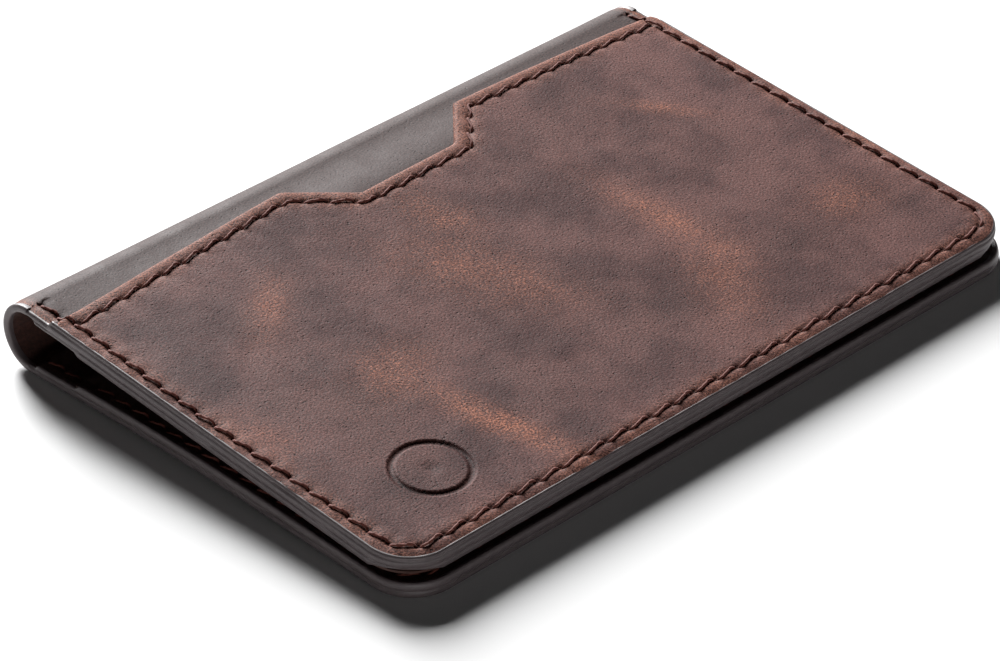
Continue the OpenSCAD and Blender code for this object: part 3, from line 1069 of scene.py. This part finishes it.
class WALLET_OT_stitching(bpy.types.Operator):
    """Builds the stitches of the pocket mouth and of both halves"""
    bl_idname = "wallet.stitching"
    bl_label = "Stitching"

    def execute(self, context):
        thread = [material("waxed_polyester_thread")]
        skin = FOLD_R + sizes("lining") + sizes("pocket")
        inside = FOLD_R - COVER_T

        def on_pocket(x, v, h):
            return front_point(x, v, skin + pocket_lift(x, v) + h)

        def on_sides(x, v, h):
            mouth = sizes("mouth_side") - x * sizes("mouth_skew") / (LENGTH / 2)
            sunk = (skin - FOLD_R) * (1 - ease(-0.6, 0.3, -v - mouth))
            return front_point(x, v, skin - sunk + pocket_lift(x, v) + h)

        path, pitch = mouth_seam()
        holes = np.arange(round(travels(path)[-1] / pitch) + 1) * pitch
        mouth = tubes("mouth_stitches",
                      stitch_rows(path, list(zip(holes, holes[1:])), on_pocket, 1), thread)
        far = max(FRONT_REACH, BACK_REACH) + 1
        short = sizes("pitch") / 2
        front = half_seam(FRONT_REACH, -1, far, on_sides, 1)
        front += half_seam(FRONT_REACH, LINER_MOUTH, SLOT_MOUTH - short,
                           lambda x, v, h: front_point(x, v, inside - PANEL_T + h), -1)
        front += half_seam(FRONT_REACH, SLOT_MOUTH, far,
                           lambda x, v, h: front_point(x, v, inside - 2 * PANEL_T + h), -1)
        front = tubes("front_stitches", front, thread)
        back = half_seam(BACK_REACH, -1, far, lambda x, v, h: back_point(x, v, h + 0.3), -1)
        back += half_seam(BACK_REACH, LINER_MOUTH, SLOT_MOUTH - short,
                          lambda x, v, h: back_point(x, v, COVER_T + PANEL_T + h - 0.16), 1)
        back += half_seam(BACK_REACH, SLOT_MOUTH, far,
                          lambda x, v, h: back_point(x, v, COVER_T + 2 * PANEL_T + h - 0.16), 1)
        back = tubes("back_stitches", back, thread)
        for piece, node, body in ((mouth, "quick_pocket_stitching", BODIES[-1]),
                                  (front, "front_stitching", BODIES[-1]),
                                  (back, "back_stitching", BODIES[0])):
            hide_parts(node)
            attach(piece, body)
        return {"FINISHED"}


def direction(turn, rise):
    """The direction that lies a turn round the wallet and a rise over the floor, in degrees."""
    a, e = math.radians(turn), math.radians(rise)
    return Vector((math.sin(a) * math.cos(e), -math.cos(a) * math.cos(e), math.sin(e)))


class WALLET_OT_stage(bpy.types.Operator):
    """Adds the pale floor, the soft studio lights and the camera"""
    bl_idname = "wallet.stage"
    bl_label = "Stage"

    def execute(self, context):
        scene = context.scene
        # A matt paper sweep: pale and even, so that the leather stands out.
        made, _, shader = start_material("matt_paper_sweep")
        shader.inputs["Base Color"].default_value = (*colours("floor"), 1)
        shader.inputs["Roughness"].default_value = 0.9
        mesh = bpy.data.meshes.new("floor")
        r = FLOOR_REACH
        mesh.from_pydata([(-r, -r, 0), (r, -r, 0), (r, r, 0), (-r, r, 0)], [], [(0, 1, 2, 3)])
        mesh.materials.append(made)
        floor = bpy.data.objects.new("floor", mesh)
        scene.collection.objects.link(floor)
        world = bpy.data.worlds.new("studio")
        world.use_nodes = True
        background = world.node_tree.nodes["Background"]
        background.inputs["Color"].default_value = (1, 1, 1, 1)
        background.inputs["Strength"].default_value = 0.01
        scene.world = world
        scene.view_settings.view_transform = "Standard"
        for name, turn, rise, wide, tall, power in LIGHTS:
            back = direction(turn, rise)
            lamp = bpy.data.lights.new(name, "AREA")
            lamp.shape, lamp.size, lamp.size_y, lamp.energy = "RECTANGLE", wide, tall, power
            light = bpy.data.objects.new(name, lamp)
            light.location = back * LIGHTS_FAR
            light.rotation_mode = "QUATERNION"
            light.rotation_quaternion = back.to_track_quat("Z", "Y")
            scene.collection.objects.link(light)
        back, roll = direction(CAMERA_TURN, CAMERA_RISE), math.radians(CAMERA_ROLL)
        right = Vector((0, 0, 1)).cross(back).normalized()
        up = back.cross(right)
        right, up = (right * math.cos(roll) + up * math.sin(roll),
                     up * math.cos(roll) - right * math.sin(roll))
        lens = bpy.data.cameras.new("camera")
        lens.lens, lens.sensor_width, lens.sensor_fit = CAMERA_LENS, CAMERA_SENSOR, "HORIZONTAL"
        lens.clip_start, lens.clip_end = 0.01, 20
        camera = bpy.data.objects.new("camera", lens)
        place = back * CAMERA_FAR + right * CAMERA_RIGHT + up * CAMERA_UP
        camera.matrix_world = Matrix.Translation(place) @ Matrix(
            (right, up, back)).transposed().to_4x4()
        scene.collection.objects.link(camera)
        scene.camera = camera
        return {"FINISHED"}


class WALLET_PT_build(bpy.types.Panel):
    bl_label = "Wallet"
    bl_idname = "WALLET_PT_build"
    bl_space_type = "VIEW_3D"
    bl_region_type = "UI"
    bl_category = "Wallet"

    def draw(self, context):
        for step in STEPS:
            self.layout.operator(step.bl_idname)
        for group in (context.scene.wallet_sizes, context.scene.wallet_colours):
            for key in type(group).__annotations__:
                self.layout.prop(group, key)


STEPS = (WALLET_OT_cover, WALLET_OT_quick_pocket, WALLET_OT_lining, WALLET_OT_inner_panels,
         WALLET_OT_edge_paint, WALLET_OT_stitching, WALLET_OT_stage)
CLASSES = (WalletSizes, WalletColours, *STEPS, WALLET_PT_build)


def register():
    for made in CLASSES:
        bpy.utils.register_class(made)
    bpy.types.Scene.wallet_sizes = bpy.props.PointerProperty(type=WalletSizes)
    bpy.types.Scene.wallet_colours = bpy.props.PointerProperty(type=WalletColours)


def unregister():
    del bpy.types.Scene.wallet_sizes
    del bpy.types.Scene.wallet_colours
    for made in reversed(CLASSES):
        bpy.utils.unregister_class(made)


def main():
    register()
    for step in STEPS:
        group, name = step.bl_idname.split(".")
        getattr(getattr(bpy.ops, group), name)()
    bpy.context.view_layer.update()


if __name__ == "__main__":
    main()
